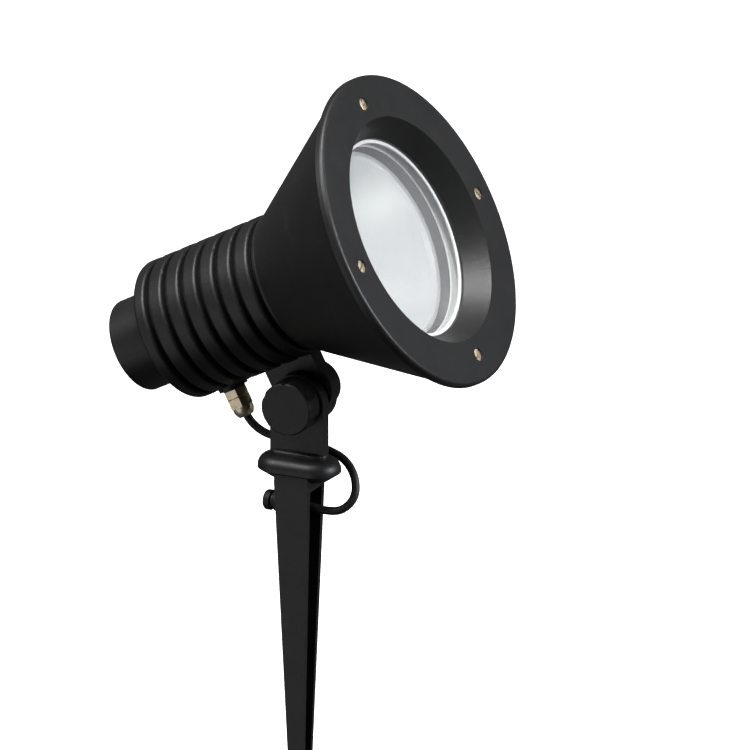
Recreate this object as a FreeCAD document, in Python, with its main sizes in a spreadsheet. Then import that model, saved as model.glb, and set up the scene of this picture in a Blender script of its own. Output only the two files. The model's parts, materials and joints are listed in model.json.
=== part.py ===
"""Garden spotlight on a ground spike: a die-cast lamp head that tilts on a spike with a cast ear.

World frame: +Z up, origin on the spike's axis at the ground line (underside of the collar),
the lamp aims towards +X and tilts about an axis along Y.
Head frame: Z runs backwards along the lamp's axis from the front face, Y is up, X is across.
"""
import FreeCAD, Part
import Sketcher
import math
import os
import re

V = FreeCAD.Vector

# Driving dimensions in millimetres and degrees; each becomes an alias of the sheet.
SIZES = {
    # where the head sits on the spike
    "tilt_angle": 27.4, "pivot_height": 49.0, "pivot_back": 121.7, "pivot_drop": 68.3, "head_offset": 12.0,
    # front ring
    "ring_radius": 100.0, "ring_thick": 6.2, "ring_round": 2.5, "mouth_radius": 72.5,
    "aperture_radius": 63.3, "recess_deep": 14.3, "ledge_back": 16.0, "skirt_bore": 70.8,
    "skirt_radius": 74.5, "skirt_back": 26.0,
    # screws that hold the ring
    "screw_circle": 83.5, "screw_seat": 3.2, "counterbore": 4.3, "screw_head": 3.4, "screw_high": 2.2,
    "screw_shank": 2.0, "screw_hole": 2.25, "screw_end": 17.0, "slot_width": 0.9, "slot_deep": 1.0,
    "boss_radius": 6.0, "boss_back": 18.0,
    # housing casting
    "flange_front": 7.2, "flange_back": 13.0, "flange_bore": 75.5, "cone_radius": 97.1, "cone_bore": 88.9,
    "cone_back": 93.2, "barrel_radius": 45.0, "barrel_back": 187.0, "cavity_radius": 35.5,
    "throat_radius": 40.6, "shoulder_wall": 4.0,
    "cap_radius": 29.5, "cap_bore": 25.5, "cap_back": 218.0, "cap_wall": 4.0, "cap_round": 1.8,
    "groove_first": 97.5, "groove_pitch": 13.2, "groove_width": 3.6, "groove_deep": 5.5, "groove_count": 7,
    "rib_round": 1.6, "shoulder_round": 2.6,
    "lug_radius": 17.0, "lug_thick": 13.0, "lobe_radius": 15.5, "lobe_up": 4.2, "lobe_front": 6.7,
    "stem_front": 18.0, "stem_rear": 16.8, "stem_top": 40.0,
    "gland_back": 167.2, "gland_boss": 9.5, "gland_face": 46.5, "gland_hole": 6.05,
    # glass and its seals
    "glass_radius": 69.8, "glass_front": 17.0, "glass_thick": 5.0, "seal_leg": 1.0, "seal_inner": 61.2,
    "seal_outer": 70.6, "retainer_inner": 64.0, "retainer_thick": 1.5, "gasket_inner": 88.5,
    "gasket_outer": 96.3,
    # reflector lamp
    "lamp_radius": 60.5, "lens_front": 25.0, "lens_rim": 28.6, "lens_thick": 2.8, "lamp_rim": 30.0,
    "bowl_front": 34.0, "bowl_wall": 3.0, "bowl_back": 100.0, "neck_radius": 20.0, "neck_back": 118.0,
    "bowl_arc": 148.0, "lens_arc": 485.0, "capsule_radius": 6.0, "capsule_front": 60.0,
    "capsule_back": 92.0, "lead_radius": 0.6, "lead_spread": 3.0,
    "thread_root": 12.6, "thread_crest": 13.3, "thread_pitch": 3.6, "thread_turns": 6, "cap_shell": 0.8,
    "cap_front": 118.0, "thread_front": 128.0,
    "tip_front": 153.0, "tip_back": 158.4, "tip_radius": 4.7,
    # lampholder and its bracket
    "holder_radius": 22.0, "holder_front": 126.0, "holder_back": 178.0, "holder_bore": 15.2,
    "holder_floor": 164.0, "shell_outer": 14.9, "shell_wall": 0.9, "shell_front": 128.0, "shell_back": 157.0,
    "strip_thick": 1.6, "strip_width": 18.0, "strip_reach": 34.0, "strip_flat": 26.0, "strip_screw": 30.7,
    "small_shank": 1.5, "small_head": 2.8, "small_high": 1.8,
    # terminal block and wires
    "block_wide": 28.0, "block_high": 15.0, "block_front": 197.0, "wire_radius": 1.1, "pole_pitch": 9.0,
    # cable gland
    "gland_flats": 14.0, "gland_hex": 5.0, "gland_bore": 3.0, "gland_thread": 5.8, "nut_front": 6.4,
    "nut_hex_back": 12.6, "nut_back": 19.0, "oring_thick": 0.8, "cord_split": 6.4, "cord_inside": 13.0,
    # pivot
    "bolt_radius": 4.0, "bolt_running": 0.06, "bolt_flats": 13.0, "bolt_head": 5.3, "bolt_end": 15.0,
    "washer_bore": 4.3, "washer_radius": 15.0, "washer_gap": 0.3, "ear_thick": 8.0, "ear_radius": 18.0,
    "knob_radius": 16.7, "knob_back": 5.3, "knob_front": 19.5, "knob_round": 1.4, "insert_radius": 7.0,
    "insert_front": 15.5, "knob_well": 16.5, "scallop_radius": 7.0, "scallop_centre": 22.9,
    "scallop_count": 6,
    # spike
    "collar_long": 54.0, "collar_wide": 30.0, "collar_top": 14.5, "collar_edge": 5.5,
    "collar_crown": 7.6, "under_long": 38.0, "under_wide": 14.0,
    "dome_long": 38.0, "dome_wide": 14.0, "dome_top": 17.5,
    "top_wide": 23.0, "top_deep": 25.0, "block_top": 5.0, "head_block": 6.0, "end_wide": 4.6,
    "end_deep": 8.4, "taper_end": 270.0, "flange_top": 4.0, "flange_end": 2.2, "web_top": 4.0,
    "web_end": 2.4, "point_start": 264.0, "spike_long": 295.0, "tip_wide": 1.4, "tip_deep": 2.2,
    "cord_hole": 5.0, "cord_hole_down": 17.5,
    # cord, grommet and end cap
    "cord_radius": 2.6, "grommet_bore": 2.65, "grommet_flange": 6.4, "grommet_half": 3.6,
    "end_cap_start": 4.5, "end_cap_end": 23.0, "end_cap_radius": 6.4,
}

doc = FreeCAD.newDocument("GardenSpotlight")
sheet = doc.addObject("Spreadsheet::Sheet", "Sizes")
for row, (alias, value) in enumerate(SIZES.items(), start=1):
    sheet.set(f"A{row}", alias)
    sheet.set(f"B{row}", str(value))
    sheet.setAlias(f"B{row}", alias)
doc.recompute()

parts = []


def bound(expression):
    """Turns alias names in an expression into references to the sheet."""
    return re.sub(r"[a-z][a-z_]+", lambda m: "Sizes." + m.group(0), str(expression))


def size(expression):
    """The value of an expression of aliases."""
    value = sheet.evalExpression(bound(expression))
    return float(getattr(value, "Value", value))


# ---------------------------------------------------------------- frames
PIVOT = V(0, 0, size("pivot_height"))
TILT = math.radians(size("tilt_angle"))
FORWARD = V(math.cos(TILT), 0, math.sin(TILT))
UPWARD = V(-math.sin(TILT), 0, math.cos(TILT))
FACE_CENTRE = (
    PIVOT
    + FORWARD * size("pivot_back")
    + UPWARD * size("pivot_drop")
    + V(0, size("head_offset"), 0)
)
WORLD = FreeCAD.Placement()
HEAD = FreeCAD.Placement(FACE_CENTRE, FreeCAD.Rotation(V(0, -1, 0), UPWARD, FORWARD * -1, "ZYX"))
# The pivot's Z runs towards the knob, which is world -Y.
PIVOT_FRAME = FreeCAD.Placement(PIVOT, FreeCAD.Rotation(V(1, 0, 0), 90))
# The gland's Z runs out of the barrel's underside from the face of its boss.
GLAND = HEAD * FreeCAD.Placement(
    V(0, -size("gland_face"), size("gland_back")), FreeCAD.Rotation(V(1, 0, 0), 90)
)
# The cord hole's Z runs towards -X, through the spike's web.
CORD_HOLE = FreeCAD.Placement(V(0, 0, -size("cord_hole_down")), FreeCAD.Rotation(V(0, 1, 0), -90))


# ---------------------------------------------------------------- building blocks
def new_body(name, place):
    body = doc.addObject("PartDesign::Body", name)
    body.Label = name
    body.Placement = place
    parts.append(body)
    return body


def plane(body, role):
    return next(f for f in body.Origin.OriginFeatures if f.Role == role)


def new_sketch(body, name, role="XZ_Plane", lift=None):
    """A sketch on one of the body's own origin planes, lifted off it by an expression."""
    sketch = body.newObject("Sketcher::SketchObject", name)
    sketch.AttachmentSupport = (plane(body, role), [""])
    sketch.MapMode = "FlatFace"
    if lift is not None:
        sketch.setExpression("AttachmentOffset.Base.z", bound(lift))
    return sketch


def pin_point(sketch, geometry, end, x, y):
    """Fixes one end of a sketch line at (x, y), each an expression."""
    for kind, axis, value in (("DistanceX", -2, x), ("DistanceY", -1, y)):
        number = size(value)
        if abs(number) < 1e-9:
            sketch.addConstraint(Sketcher.Constraint("PointOnObject", geometry, end, axis))
            continue
        if number > 0:
            index = sketch.addConstraint(Sketcher.Constraint(kind, -1, 1, geometry, end, number))
            sketch.setExpression(f"Constraints[{index}]", bound(value))
        else:
            index = sketch.addConstraint(Sketcher.Constraint(kind, geometry, end, -1, 1, -number))
            sketch.setExpression(f"Constraints[{index}]", bound(f"-({value})"))


def draw(sketch, points, arcs=None):
    """A closed outline. arcs maps a side's number to (radius, bulge), bulge being +1 to the side's left."""
    arcs = arcs or {}
    corners = [V(size(x), size(y), 0) for x, y in points]
    ends = []
    for i, start in enumerate(corners):
        stop = corners[(i + 1) % len(corners)]
        if i in arcs:
            radius, bulge = size(arcs[i][0]), arcs[i][1]
            chord = stop - start
            left = V(-chord.y, chord.x, 0).normalize()
            sagitta_side = math.sqrt(max(radius**2 - chord.Length**2 / 4, 0))
            centre = (start + stop) * 0.5 - left * (bulge * sagitta_side)
            # a sketch's arcs run anticlockwise, so one that bulges left is drawn from its far end
            first, second = (start, stop) if bulge < 0 else (stop, start)
            begin = math.atan2(first.y - centre.y, first.x - centre.x)
            finish = math.atan2(second.y - centre.y, second.x - centre.x)
            if finish < begin:
                finish += 2 * math.pi
            geometry = Part.ArcOfCircle(Part.Circle(centre, V(0, 0, 1), radius), begin, finish)
            index = sketch.addGeometry(geometry, False)
            ends.append((index, 1, 2) if bulge < 0 else (index, 2, 1))
        else:
            index = sketch.addGeometry(Part.LineSegment(start, stop), False)
            ends.append((index, 1, 2))
    for i, (index, first, last) in enumerate(ends):
        following = ends[(i + 1) % len(ends)]
        sketch.addConstraint(Sketcher.Constraint("Coincident", index, last, following[0], following[1]))
        pin_point(sketch, index, first, *points[i])
        if i in arcs:
            constraint = sketch.addConstraint(Sketcher.Constraint("Radius", index, size(arcs[i][0])))
            sketch.setExpression(f"Constraints[{constraint}]", bound(arcs[i][0]))
    return sketch


def draw_circle(sketch, x, y, radius):
    index = sketch.addGeometry(Part.Circle(V(size(x), size(y), 0), V(0, 0, 1), size(radius)), False)
    pin_point(sketch, index, 3, x, y)
    constraint = sketch.addConstraint(Sketcher.Constraint("Radius", index, size(radius)))
    sketch.setExpression(f"Constraints[{constraint}]", bound(radius))
    return sketch


def draw_obround(sketch, long, wide):
    """A slot-shaped outline along the sketch's x, centred on its origin."""
    reach, half = f"({long}-{wide})/2", f"{wide}/2"
    points = [(f"-{reach}", f"-{half}"), (reach, f"-{half}"), (reach, half), (f"-{reach}", half)]
    return draw(sketch, points, {1: (f"{half}+0.0001", -1), 3: (f"{half}+0.0001", -1)})


def feature(body, kind, name, sketch, **settings):
    """Adds a sketch-based feature; a setting whose value is text is bound to the sheet."""
    item = body.newObject("PartDesign::" + kind, name)
    item.Profile = sketch
    for key, value in settings.items():
        if isinstance(value, str):
            item.setExpression(key, bound(value))
        else:
            setattr(item, key, value)
    return item


def turn(body, name, points, arcs=None, kind="Revolution"):
    """Revolves an outline of (radius, height) points about the body's Z."""
    sketch = draw(new_sketch(body, name + "_outline"), points, arcs)
    return feature(body, kind, name, sketch, ReferenceAxis=(sketch, ["V_Axis"]), Angle=360.0)


def pad(body, name, sketch, length, **settings):
    return feature(body, "Pad", name, sketch, Length=length, **settings)


def pocket(body, name, sketch, length, **settings):
    return feature(body, "Pocket", name, sketch, Length=length, **settings)


def turned(name, place, points, arcs=None):
    """A whole part made by one revolve."""
    body = new_body(name, place)
    turn(body, name + "_turned", points, arcs)
    return body


def tube_ring(name, place, inner, outer, low, high):
    return turned(name, place, [(inner, low), (outer, low), (outer, high), (inner, high)])


def round_edges(body, name, radius, wanted):
    """Fillets the edges of the body's tip that wanted(edge) picks."""
    doc.recompute()
    base = body.Tip
    edges = [f"Edge{i}" for i, edge in enumerate(base.Shape.Edges, start=1) if wanted(edge)]
    fillet = body.newObject("PartDesign::Fillet", name)
    fillet.Base = (base, edges)
    fillet.setExpression("Radius", bound(radius))
    doc.recompute()
    return fillet


def is_circle(edge, radius, height=None):
    """True for an edge round the local Z at that radius, and height where one is given."""
    if not isinstance(edge.Curve, Part.Circle) or abs(edge.Curve.Radius - radius) > 1e-3:
        return False
    if abs(abs(edge.Curve.Axis.z) - 1) > 1e-6 or math.hypot(edge.Curve.Center.x, edge.Curve.Center.y) > 1e-6:
        return False
    return height is None or abs(edge.Curve.Center.z - height) < 1e-3


def polar(body, name, original, count):
    pattern = body.newObject("PartDesign::PolarPattern", name)
    pattern.Originals = [original]
    pattern.Axis = (plane(body, "Z_Axis"), [""])
    pattern.Angle = 360.0
    pattern.setExpression("Occurrences", bound(count))
    body.Tip = pattern
    return pattern


def hexagon(sketch, flats):
    """A hexagon with two corners on the sketch's y axis."""
    half, side, corner = f"({flats})/2", f"({flats})*0.288675", f"({flats})*0.577350"
    points = [(half, f"-{side}"), (half, side), ("0", corner), (f"-{half}", side), (f"-{half}", f"-{side}")]
    return draw(sketch, points + [("0", f"-{corner}")])


def shaped(name, place, shape):
    """A part whose shape is made directly, for tubes along a route and for groups of loose solids."""
    item = doc.addObject("Part::Feature", name)
    item.Label = name
    item.Shape = shape
    item.Placement = place
    parts.append(item)
    return item


# ---------------------------------------------------------------- housing casting
def lamp_housing():
    body = new_body("lamp_housing", HEAD)
    turn(
        body,
        "shell",
        [
            ("flange_bore", "flange_front"), ("cone_radius", "flange_front"), ("barrel_radius", "cone_back"),
            ("barrel_radius", "barrel_back"), ("cap_radius", "barrel_back"), ("cap_radius", "cap_back"),
            ("0", "cap_back"), ("0", "cap_back-cap_wall"), ("cap_bore", "cap_back-cap_wall"),
            ("cap_bore", "barrel_back-shoulder_wall"), ("cavity_radius", "barrel_back-shoulder_wall"),
            ("cavity_radius", "cone_back"), ("throat_radius", "cone_back"), ("cone_bore", "flange_back"),
            ("flange_bore", "flange_back"),
        ],
    )
    low, high = "groove_first-groove_width/2", "groove_first+groove_width/2"
    groove = turn(
        body,
        "first_groove",
        [
            ("barrel_radius-groove_deep", low), ("barrel_radius+2", low),
            ("barrel_radius+2", high), ("barrel_radius-groove_deep", high),
        ],
        kind="Groove",
    )
    grooves = body.newObject("PartDesign::LinearPattern", "grooves")
    grooves.Originals = [groove]
    grooves.Direction = (plane(body, "Z_Axis"), [""])
    grooves.setExpression("Length", bound("groove_pitch*(groove_count-1)"))
    grooves.setExpression("Occurrences", bound("groove_count"))
    body.Tip = grooves
    barrel, back = size("barrel_radius"), size("barrel_back")
    round_edges(body, "rib_edges", "rib_round", lambda e: is_circle(e, barrel) and e.Curve.Center.z < back - 1
                and e.Curve.Center.z > size("cone_back") + 1)
    round_edges(body, "shoulder_edge", "shoulder_round", lambda e: is_circle(e, barrel, back))
    round_edges(body, "cap_edge", "cap_round", lambda e: is_circle(e, size("cap_radius"), size("cap_back")))
    round_edges(body, "cap_root", "shoulder_round", lambda e: is_circle(e, size("cap_radius"), back))
    # mounting lug below the barrel: a disc round the pivot and the stem that joins it to the ribs;
    # a sketch on the YZ plane has its x along the body's Y and its y along the body's Z
    stem = draw(
        new_sketch(body, "stem_outline", "YZ_Plane"),
        [
            ("-stem_top", "pivot_back-stem_front"), ("-stem_top", "pivot_back+stem_rear"),
            ("-pivot_drop", "pivot_back+stem_rear"), ("-pivot_drop", "pivot_back-stem_front"),
        ],
    )
    pad(body, "lug_stem", stem, "lug_thick", Midplane=True)
    disc = draw_circle(new_sketch(body, "lug_outline", "YZ_Plane"), "-pivot_drop", "pivot_back", "lug_radius")
    pad(body, "lug_disc", disc, "lug_thick", Midplane=True)
    lobe = draw_circle(
        new_sketch(body, "lobe_outline", "YZ_Plane"),
        "-pivot_drop+lobe_up",
        "pivot_back-lobe_front",
        "lobe_radius",
    )
    pad(body, "lug_lobe", lobe, "lug_thick", Midplane=True)
    bore = draw_circle(
        new_sketch(body, "lug_bore_outline", "YZ_Plane"), "-pivot_drop", "pivot_back", "bolt_radius+bolt_running"
    )
    pocket(body, "lug_bore", bore, "lug_thick+2", Midplane=True)
    recess = new_sketch(body, "bolt_recess_outline", "YZ_Plane", "-lug_thick/2")
    half, side, corner = "bolt_flats/2", "bolt_flats*0.288675", "bolt_flats*0.577350"
    draw(
        recess,
        [
            (f"-pivot_drop+{a}", f"pivot_back+{b}")
            for a, b in (
                (half, f"(-{side})"), (half, side), ("0", corner),
                (f"(-{half})", side), (f"(-{half})", f"(-{side})"), ("0", f"(-{corner})"),
            )
        ],
    )
    pocket(body, "bolt_recess", recess, "bolt_head+0.2", Reversed=True)
    # boss and threaded hole for the cable gland; a sketch on the XZ plane faces the body's -Y
    boss = draw_circle(
        new_sketch(body, "gland_boss_outline", "XZ_Plane", "stem_top-1.5"), "0", "gland_back", "gland_boss"
    )
    pad(body, "gland_boss_pad", boss, "gland_face-stem_top+1.5")
    hole = draw_circle(
        new_sketch(body, "gland_hole_outline", "XZ_Plane", "gland_face"), "0", "gland_back", "gland_hole"
    )
    pocket(body, "gland_hole_pocket", hole, "gland_face-cavity_radius+4")
    # screw bosses inside the mouth of the cone
    screw_boss = draw_circle(
        new_sketch(body, "boss_outline", "XY_Plane", "flange_back-1"), "0", "screw_circle", "boss_radius"
    )
    first_boss = pad(body, "screw_boss", screw_boss, "boss_back-flange_back+1")
    polar(body, "screw_bosses", first_boss, 4)
    tapped = draw_circle(
        new_sketch(body, "tapped_outline", "XY_Plane", "flange_front"), "0", "screw_circle", "screw_shank"
    )
    first_tapped = pocket(body, "tapped_hole", tapped, "screw_end-flange_front+0.4", Reversed=True)
    polar(body, "tapped_holes", first_tapped, 4)
    foot_hole = new_sketch(body, "foot_hole_outline", "XY_Plane", "barrel_back-shoulder_wall")
    for side_x in ("strip_screw", "-strip_screw"):
        draw_circle(foot_hole, side_x, "0", "small_shank")
    draw_circle(foot_hole, "0", "strip_screw", "small_shank")
    pocket(body, "foot_holes", foot_hole, "shoulder_wall-0.8", Reversed=True)
    return body


# ---------------------------------------------------------------- front ring, glass and seals
def front_ring():
    body = new_body("front_ring", HEAD)
    turn(
        body,
        "ring",
        [
            ("mouth_radius", "0"), ("ring_radius-ring_round", "0"), ("ring_radius", "ring_round"),
            ("ring_radius", "ring_thick-1"), ("ring_radius-1", "ring_thick"), ("skirt_radius", "ring_thick"),
            ("skirt_radius", "skirt_back"), ("skirt_bore", "skirt_back"), ("skirt_bore", "ledge_back"),
            ("aperture_radius", "ledge_back"), ("aperture_radius", "recess_deep"),
        ],
        {1: ("ring_round", -1)},
    )
    seat = draw_circle(new_sketch(body, "seat_outline", "XY_Plane"), "0", "screw_circle", "counterbore")
    first_seat = pocket(body, "seat", seat, "screw_seat", Reversed=True)
    polar(body, "seats", first_seat, 4)
    hole = draw_circle(new_sketch(body, "hole_outline", "XY_Plane"), "0", "screw_circle", "screw_hole")
    first_hole = pocket(body, "hole", hole, "ring_thick+1", Reversed=True)
    polar(body, "holes", first_hole, 4)


def ring_screws():
    """Four slotted cheese-head screws, one node."""
    head, shank = size("screw_head"), size("screw_shank")
    seat, top = size("screw_seat"), size("screw_seat-screw_high")
    solids = []
    for i in range(4):
        turn_by = math.radians(90 * i)
        centre = V(size("screw_circle") * math.sin(turn_by), size("screw_circle") * math.cos(turn_by), 0)
        solid = Part.makeCylinder(head, seat - top, centre + V(0, 0, top))
        solid = solid.fuse(Part.makeCylinder(shank, size("screw_end") - top, centre + V(0, 0, top)))
        slot = Part.makeBox(3 * head, size("slot_width"), size("slot_deep"))
        slot.translate(V(-1.5 * head, -size("slot_width") / 2, 0))
        slot.rotate(V(0, 0, 0), V(0, 0, 1), 25 + 40 * i)
        slot.translate(centre + V(0, 0, top))
        solids.append(solid.cut(slot).removeSplitter())
    shaped("ring_screws", HEAD, Part.makeCompound(solids))


def glass_and_seals():
    tube_ring("ring_gasket", HEAD, "gasket_inner", "gasket_outer", "ring_thick", "flange_front")
    back = "glass_front+glass_thick"
    turned(
        "front_glass",
        HEAD,
        [
            ("0", "glass_front"), ("glass_radius-0.6", "glass_front"), ("glass_radius", "glass_front+0.6"),
            ("glass_radius", f"{back}-0.6"), ("glass_radius-0.6", back), ("0", back),
        ],
    )
    turned(
        "glass_seal",
        HEAD,
        [
            ("seal_inner", "glass_front-seal_leg"), ("seal_outer", "glass_front-seal_leg"),
            ("seal_outer", f"{back}+seal_leg"), ("seal_inner", f"{back}+seal_leg"), ("seal_inner", back),
            ("glass_radius", back), ("glass_radius", "glass_front"), ("seal_inner", "glass_front"),
        ],
    )
    seal_back = f"{back}+seal_leg"
    tube_ring(
        "glass_retainer", HEAD, "retainer_inner", "seal_outer", seal_back, f"{seal_back}+retainer_thick"
    )


# ---------------------------------------------------------------- reflector lamp
def reflector_lamp():
    turned(
        "lamp_bowl",
        HEAD,
        [
            ("lamp_radius-bowl_wall", "lamp_rim"), ("lamp_radius", "lamp_rim"), ("lamp_radius", "bowl_front"),
            ("neck_radius+2", "bowl_back"), ("neck_radius", "neck_back"),
            ("neck_radius-bowl_wall", "neck_back"), ("neck_radius+2-bowl_wall", "bowl_back"),
            ("lamp_radius-bowl_wall", "bowl_front"),
        ],
        {2: ("bowl_arc", -1), 6: ("bowl_arc-bowl_wall", 1)},
    )
    turned(
        "lamp_lens",
        HEAD,
        [
            ("0", "lens_front"), ("lamp_radius-1.5", "lens_rim"), ("lamp_radius", "lamp_rim"),
            ("lamp_radius-bowl_wall-1", "lamp_rim"), ("0", "lens_front+lens_thick"),
        ],
        {0: ("lens_arc", -1)},
    )
    turned(
        "lamp_capsule",
        HEAD,
        [
            ("0", "capsule_front"), ("capsule_radius", "capsule_front+capsule_radius"),
            ("capsule_radius", "capsule_back-3"), ("capsule_radius-2", "capsule_back"), ("0", "capsule_back"),
        ],
        {0: ("capsule_radius", -1)},
    )
    leads = [
        Part.makeCylinder(
            size("lead_radius"), size("cap_front-capsule_back"), V(x, 0, size("capsule_back")), V(0, 0, 1)
        )
        for x in (-size("lead_spread"), size("lead_spread"))
    ]
    shaped("capsule_leads", HEAD, Part.makeCompound(leads))
    # screw cap: a thin shell whose wall waves in and out like a rolled thread
    outer = [("neck_radius-0.6", "cap_front"), ("thread_crest", "thread_front")]
    for turn_number in range(int(size("thread_turns"))):
        at = f"thread_front+thread_pitch*{turn_number}"
        outer += [("thread_root", f"{at}+thread_pitch/2"), ("thread_crest", f"{at}+thread_pitch")]
    inner = [(f"{r}-cap_shell", z) for r, z in reversed(outer[1:])]
    bottom = [("tip_radius+4", "tip_front"), ("tip_radius+4-cap_shell", "tip_front-0.2")]
    turned("lamp_cap", HEAD, outer + bottom + inner + [("neck_radius-0.6-cap_shell", "cap_front")])
    turned(
        "lamp_cap_insulator",
        HEAD,
        [
            ("tip_radius", "tip_front"), ("tip_radius+4", "tip_front"), ("tip_radius+1", "tip_back-1"),
            ("tip_radius", "tip_back-1"),
        ],
    )
    turned(
        "lamp_contact_tip",
        HEAD,
        [("0", "tip_front"), ("tip_radius", "tip_front"), ("tip_radius", "tip_back-0.6"), ("0", "tip_back")],
    )


# ---------------------------------------------------------------- lampholder
def lampholder():
    turned(
        "holder_body",
        HEAD,
        [
            ("holder_bore", "holder_front"), ("holder_radius", "holder_front"),
            ("holder_radius", "holder_back-6"), ("holder_radius-4", "holder_back"), ("0", "holder_back"),
            ("0", "holder_floor"), ("holder_bore", "holder_floor"),
        ],
    )
    turned(
        "holder_screw_shell",
        HEAD,
        [
            ("shell_outer-shell_wall", "shell_front"), ("shell_outer", "shell_front"),
            ("shell_outer", "shell_back"), ("tip_radius+2.2", "shell_back"),
            ("tip_radius+2.2", "shell_back-shell_wall"),
            ("shell_outer-shell_wall", "shell_back-shell_wall"),
        ],
    )
    tongue = new_body("holder_contact", HEAD)
    outline = draw(
        new_sketch(tongue, "tongue_outline", "YZ_Plane"),
        [
            ("-4", "tip_back+0.1"), ("9", "tip_back+0.1"), ("9", "holder_floor"), ("5", "holder_floor"),
            ("5", "holder_floor-0.8"), ("8.2", "holder_floor-0.8"), ("8.2", "tip_back+0.9"),
            ("-4", "tip_back+0.9"),
        ],
    )
    pad(tongue, "tongue", outline, "tip_radius*1.2", Midplane=True)
    # bent steel strip that carries the holder, with a foot on the housing's shoulder at each end;
    # a sketch on the XZ plane has its x along the body's X and its y along the body's Z
    strip = new_body("holder_bracket", HEAD)
    foot_face, plate = "barrel_back-shoulder_wall", "holder_back"
    side = [
        ("strip_flat", f"{plate}+strip_thick"), ("strip_flat", foot_face), ("strip_reach", foot_face),
        ("strip_reach", f"{foot_face}-strip_thick"), ("strip_flat+strip_thick", f"{foot_face}-strip_thick"),
        ("strip_flat+strip_thick", plate),
    ]
    mirrored = [(f"-({x})", z) for x, z in reversed(side)]
    outline = draw(new_sketch(strip, "strip_outline", "XZ_Plane"), side + mirrored)
    pad(strip, "strip", outline, "strip_width", Midplane=True)
    holes = new_sketch(strip, "strip_holes_outline", "XY_Plane", "holder_back-1")
    for x in ("strip_screw", "-strip_screw", "strip_screw/3", "-strip_screw/3"):
        draw_circle(holes, x, "0", "small_shank+0.1")
    pocket(strip, "strip_holes", holes, "barrel_back-holder_back", Reversed=True)


def small_screw(centre, low, high, head_below):
    """A pan-head screw along Z from low to high; its head is below low or above high."""
    shank = Part.makeCylinder(size("small_shank"), high - low, centre + V(0, 0, low))
    start = low - size("small_high") if head_below else high
    head = Part.makeCylinder(size("small_head"), size("small_high"), centre + V(0, 0, start))
    return shank.fuse(head).removeSplitter()


def holder_screws():
    reach = size("strip_screw")
    foot = size("barrel_back-shoulder_wall")
    thick = size("strip_thick")
    feet = [small_screw(V(x, 0, 0), foot - thick, foot + 3, True) for x in (-reach, reach)]
    shaped("bracket_screws", HEAD, Part.makeCompound(feet))
    plate = size("holder_back")
    backs = [small_screw(V(x, 0, 0), plate - 6, plate + thick, False) for x in (-reach / 3, reach / 3)]
    shaped("holder_screws", HEAD, Part.makeCompound(backs))
    shaped("earth_screw", HEAD, small_screw(V(0, reach, 0), foot - 1.0, foot + 3, True))
    holder = doc.getObject("holder_body")
    drill = new_sketch(holder, "holder_tapped_outline", "XY_Plane", "holder_back")
    for x in ("strip_screw/3", "-strip_screw/3"):
        draw_circle(drill, x, "0", "small_shank")
    pocket(holder, "holder_tapped", drill, "6.2")


# ---------------------------------------------------------------- terminal block and wires
def terminal_block():
    body = new_body("terminal_block", HEAD)
    back = "cap_back-cap_wall"
    outline = draw(
        new_sketch(body, "block_outline", "XY_Plane", "block_front"),
        [
            ("-block_wide/2", "-block_high/2"), ("block_wide/2", "-block_high/2"),
            ("block_wide/2", "block_high/2"), ("-block_wide/2", "block_high/2"),
        ],
    )
    pad(body, "block", outline, f"{back}-block_front")
    ways = new_sketch(body, "ways_outline", "XY_Plane", "block_front")
    wells = new_sketch(body, "wells_outline", "XZ_Plane", "-block_high/2")
    for x in ("-pole_pitch", "0", "pole_pitch"):
        draw_circle(ways, x, "0", "wire_radius+0.6")
        draw_circle(wells, x, "block_front+5", "2")
    pocket(body, "wire_ways", ways, "10", Reversed=True)
    pocket(body, "screw_wells", wells, "block_high/2", Reversed=True)
    screws = [
        Part.makeCylinder(1.7, 3, V(x, size("wire_radius") + 1, size("block_front") + 5), V(0, 1, 0))
        for x in (-size("pole_pitch"), 0, size("pole_pitch"))
    ]
    shaped("terminal_screws", HEAD, Part.makeCompound(screws))


def rounded_wire(points, report=None):
    """Straight runs joined by tangent arcs, each arc as large as 0.45 of its shorter run allows."""
    edges, start, length, radii = [], points[0], 0.0, []
    for before, corner, after in zip(points, points[1:], points[2:]):
        to_before, to_after = before - corner, after - corner
        half_turn = (math.pi - to_before.getAngle(to_after)) / 2
        setback = 0.45 * min(to_before.Length, to_after.Length)
        radius = setback / math.tan(half_turn)
        enter = corner + to_before.normalize() * setback
        leave = corner + to_after.normalize() * setback
        middle_way = (enter + leave) * 0.5 - corner
        apex = corner + middle_way.normalize() * (radius / math.cos(half_turn) - radius)
        edges += [Part.LineSegment(start, enter).toShape(), Part.Arc(enter, apex, leave).toShape()]
        start = leave
        radii.append(round(radius, 1))
    edges.append(Part.LineSegment(start, points[-1]).toShape())
    wire = Part.Wire(edges)
    if report:
        print(report, "length", round(wire.Length, 1), "arc radii", radii)
    return wire


def tube(points, radius, report=None):
    wire = rounded_wire(points, report)
    first = points[1] - points[0]
    section = Part.Wire(Part.makeCircle(radius, points[0], first))
    solid = wire.makePipeShell([section], True, False)
    if report:
        swept = math.pi * radius**2 * wire.Length
        print(report, "volume", round(solid.Volume, 1), "section x length", round(swept, 1))
    return solid


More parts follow.
